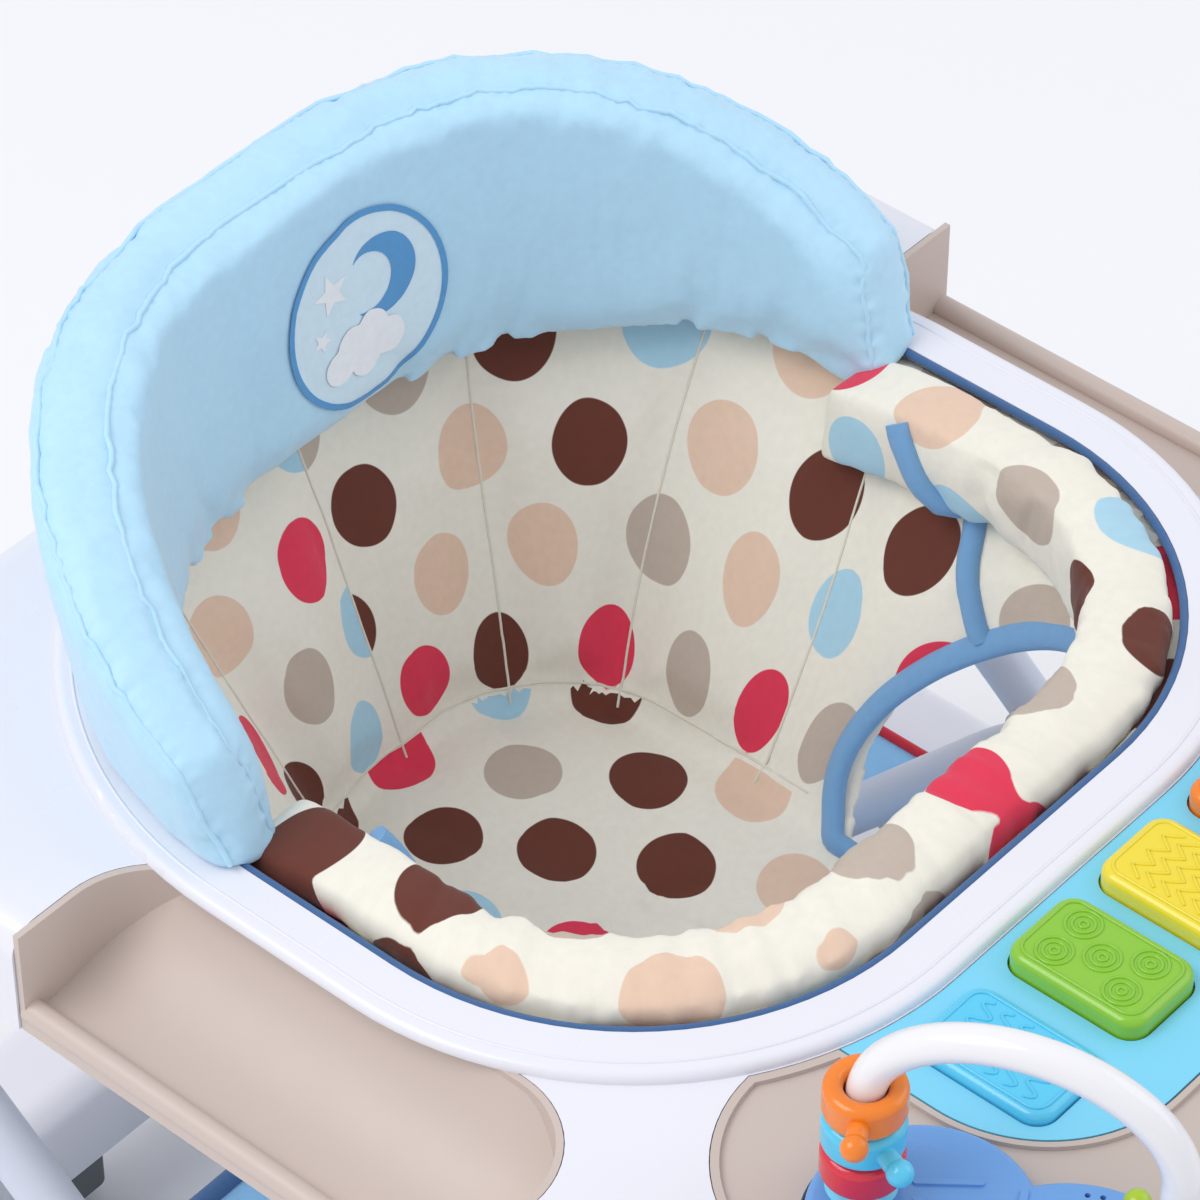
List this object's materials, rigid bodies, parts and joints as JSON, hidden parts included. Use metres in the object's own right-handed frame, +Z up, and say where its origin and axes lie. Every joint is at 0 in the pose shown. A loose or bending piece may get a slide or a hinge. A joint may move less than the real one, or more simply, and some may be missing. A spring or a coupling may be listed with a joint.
{
  "type": "baby walker",
  "caption": "Round-cornered baby walker: castored base ring, folding crossed tube legs, toy tray with sound keys and bead arches, and a hung cloth seat with a padded backrest.",
  "frame": {"origin": "on the floor, at the middle of the whole object in plan", "axes": "+Z up, -Y the way the child faces, X across, with X = 0 the middle plane"},
  "size_m": [0.62, 0.66, 0.541],
  "materials": {
    "white_plastic": "satin moulded polypropylene",
    "blue_plastic": "satin moulded plastic",
    "taupe_plastic": "fine satin moulded plastic",
    "cream_plastic": "satin moulded plastic",
    "sky_plastic": "satin moulded plastic",
    "key_blue": "glossy moulded plastic",
    "key_green": "glossy moulded plastic",
    "key_yellow": "glossy moulded plastic",
    "key_orange": "glossy moulded plastic",
    "circuit_board": "green laminate",
    "silicone": "translucent silicone rubber",
    "bead_red": "glossy moulded plastic",
    "bead_lime": "glossy moulded plastic",
    "arch_white": "glossy white tube",
    "painted_tube": "light grey powder-coated steel tube",
    "steel": "zinc-plated steel",
    "nylon": "plain nylon",
    "snap_white": "white press studs",
    "mat_cloth": "plain woven light blue cloth",
    "satin_cloth": "light blue satin-weave polyester",
    "board_plastic": "plain polypropylene sheet",
    "dot_cotton": "cream printed cotton with large coloured dots",
    "stop_rubber": "grey soft rubber",
    "castor_white": "white moulded nylon",
    "wheel_blue": "blue moulded wheel with a soft tread",
    "denim_binding": "blue twill tape",
    "sky_binding": "light blue herringbone tape",
    "red_piping": "red piping"
  },
  "bodies": {
    "base": {"base_ring": "white_plastic", "base_underplate": "white_plastic", "brake_pads": "stop_rubber", "foot_mat": "mat_cloth", "mat_snaps": "snap_white"},
    "rear_leg": {"rear_leg_tube": "painted_tube", "cross_pins": "steel", "cross_washers": "nylon", "rear_leg_pins": "steel", "slide_rollers": "nylon"},
    "front_leg": {"front_leg_tube": "painted_tube", "front_leg_pins": "steel"},
    "tray": {"tray_shell": "white_plastic", "rear_underplate": "white_plastic", "front_underplate": "white_plastic", "tray_screws": "steel", "battery_box": "white_plastic", "battery_door": "white_plastic", "hinge_saddles": "white_plastic", "slide_rails": "white_plastic", "armrest_insert_left": "taupe_plastic", "armrest_insert_right": "taupe_plastic", "toy_tray": "taupe_plastic", "snack_dish": "cream_plastic", "key_panel": "sky_plastic", "key_board": "circuit_board", "key_domes": "silicone", "leaf_toy_left": "blue_plastic", "leaf_toy_right": "blue_plastic", "bead_arch_left": "arch_white", "bead_arch_right": "arch_white", "arch_collars": "sky_plastic", "seat": "dot_cotton", "seat_roll": "dot_cotton", "backrest_board": "board_plastic", "backrest_pad": "satin_cloth"},
    "fold_lever": {"fold_lever": "blue_plastic"},
    "castor_1": {"castor_fork_1": "castor_white"},
    "wheel_1": {"castor_wheel_1": "wheel_blue"},
    "castor_2": {"castor_fork_2": "castor_white"},
    "wheel_2": {"castor_wheel_2": "wheel_blue"},
    "castor_3": {"castor_fork_3": "castor_white"},
    "wheel_3": {"castor_wheel_3": "wheel_blue"},
    "castor_4": {"castor_fork_4": "castor_white"},
    "wheel_4": {"castor_wheel_4": "wheel_blue"},
    "castor_5": {"castor_fork_5": "castor_white"},
    "wheel_5": {"castor_wheel_5": "wheel_blue"},
    "castor_6": {"castor_fork_6": "castor_white"},
    "wheel_6": {"castor_wheel_6": "wheel_blue"},
    "key_blue_body": {"key_blue": "key_blue"},
    "key_green_body": {"key_green": "key_green"},
    "key_yellow_body": {"key_yellow": "key_yellow"},
    "key_orange_body": {"key_orange": "key_orange"},
    "bead_red_body": {"bead_red": "bead_red"},
    "bead_sky_body": {"bead_sky": "key_blue"},
    "bead_orange_body": {"bead_orange": "key_orange"},
    "bead_lime_body": {"bead_lime": "bead_lime"},
    "bead_yellow_body": {"bead_yellow": "key_yellow"},
    "bead_blue_body": {"bead_blue": "blue_plastic"}
  },
  "joints": [
    {"name": "leg_fold", "type": "hinge", "parent": "base", "child": "rear_leg", "pos_m": [0, 0.17128, 0.0658], "axis": [1, 0, 0], "range_deg": [-2, 24.7]},
    {"name": "leg_cross", "type": "hinge", "parent": "rear_leg", "child": "front_leg", "pos_m": [0, 0.065, 0.18807], "axis": [1, 0, 0], "range_deg": [-49.4, 4]},
    {"name": "tray_level", "type": "hinge", "parent": "front_leg", "child": "tray", "pos_m": [0, 0.25465, 0.34], "axis": [1, 0, 0], "range_deg": [-2, 24.7]},
    {"name": "lever_pull", "type": "hinge", "parent": "tray", "child": "fold_lever", "pos_m": [0, -0.262, 0.342], "axis": [1, 0, 0], "range_deg": [0, 40], "stiffness_Nm_per_rad": 0.6, "springref_deg": -14.32},
    {"name": "castor_swivel_1", "type": "hinge", "parent": "base", "child": "castor_1", "pos_m": [-0.24768, -0.26768, 0.05], "axis": [0, 0, 1], "continuous": true},
    {"name": "wheel_spin_1", "type": "hinge", "parent": "castor_1", "child": "wheel_1", "pos_m": [-0.24768, -0.25368, 0.02], "axis": [1, 0, 0], "continuous": true},
    {"name": "castor_swivel_2", "type": "hinge", "parent": "base", "child": "castor_2", "pos_m": [0.24768, -0.26768, 0.05], "axis": [0, 0, 1], "continuous": true},
    {"name": "wheel_spin_2", "type": "hinge", "parent": "castor_2", "child": "wheel_2", "pos_m": [0.24768, -0.25368, 0.02], "axis": [1, 0, 0], "continuous": true},
    {"name": "castor_swivel_3", "type": "hinge", "parent": "base", "child": "castor_3", "pos_m": [-0.284, 0, 0.05], "axis": [0, 0, 1], "continuous": true},
    {"name": "wheel_spin_3", "type": "hinge", "parent": "castor_3", "child": "wheel_3", "pos_m": [-0.284, 0.014, 0.02], "axis": [1, 0, 0], "continuous": true},
    {"name": "castor_swivel_4", "type": "hinge", "parent": "base", "child": "castor_4", "pos_m": [0.284, 0, 0.05], "axis": [0, 0, 1], "continuous": true},
    {"name": "wheel_spin_4", "type": "hinge", "parent": "castor_4", "child": "wheel_4", "pos_m": [0.284, 0.014, 0.02], "axis": [1, 0, 0], "continuous": true},
    {"name": "castor_swivel_5", "type": "hinge", "parent": "base", "child": "castor_5", "pos_m": [-0.24768, 0.26768, 0.05], "axis": [0, 0, 1], "continuous": true},
    {"name": "wheel_spin_5", "type": "hinge", "parent": "castor_5", "child": "wheel_5", "pos_m": [-0.24768, 0.28168, 0.02], "axis": [1, 0, 0], "continuous": true},
    {"name": "castor_swivel_6", "type": "hinge", "parent": "base", "child": "castor_6", "pos_m": [0.24768, 0.26768, 0.05], "axis": [0, 0, 1], "continuous": true},
    {"name": "wheel_spin_6", "type": "hinge", "parent": "castor_6", "child": "wheel_6", "pos_m": [0.24768, 0.28168, 0.02], "axis": [1, 0, 0], "continuous": true},
    {"name": "key_press_blue", "type": "slide", "parent": "tray", "child": "key_blue_body", "axis": [0, 0, -1], "range_m": [0, 0.0025], "stiffness_N_per_m": 400, "springref_m": -0.001},
    {"name": "key_press_green", "type": "slide", "parent": "tray", "child": "key_green_body", "axis": [0, 0, -1], "range_m": [0, 0.0025], "stiffness_N_per_m": 400, "springref_m": -0.001},
    {"name": "key_press_yellow", "type": "slide", "parent": "tray", "child": "key_yellow_body", "axis": [0, 0, -1], "range_m": [0, 0.0025], "stiffness_N_per_m": 400, "springref_m": -0.001},
    {"name": "key_press_orange", "type": "slide", "parent": "tray", "child": "key_orange_body", "axis": [0, 0, -1], "range_m": [0, 0.0025], "stiffness_N_per_m": 400, "springref_m": -0.001},
    {"name": "bead_turn_red", "type": "hinge", "parent": "tray", "child": "bead_red_body", "pos_m": [-0.153, -0.152, 0.42], "axis": [0, 0, 1], "continuous": true},
    {"name": "bead_turn_sky", "type": "hinge", "parent": "tray", "child": "bead_sky_body", "pos_m": [-0.153, -0.152, 0.42], "axis": [0, 0, 1], "continuous": true},
    {"name": "bead_turn_orange", "type": "hinge", "parent": "tray", "child": "bead_orange_body", "pos_m": [-0.153, -0.152, 0.42], "axis": [0, 0, 1], "continuous": true},
    {"name": "bead_turn_lime", "type": "hinge", "parent": "tray", "child": "bead_lime_body", "pos_m": [-0.118, -0.25, 0.42], "axis": [0, 0, 1], "continuous": true},
    {"name": "bead_turn_yellow", "type": "hinge", "parent": "tray", "child": "bead_yellow_body", "pos_m": [0.153, -0.152, 0.42], "axis": [0, 0, 1], "continuous": true},
    {"name": "bead_turn_blue", "type": "hinge", "parent": "tray", "child": "bead_blue_body", "pos_m": [0.118, -0.25, 0.42], "axis": [0, 0, 1], "continuous": true}
  ],
  "couplings": [
    {"joint": "leg_cross", "follows": "leg_fold", "ratio": -2},
    {"joint": "tray_level", "follows": "leg_fold", "ratio": 1}
  ]
}
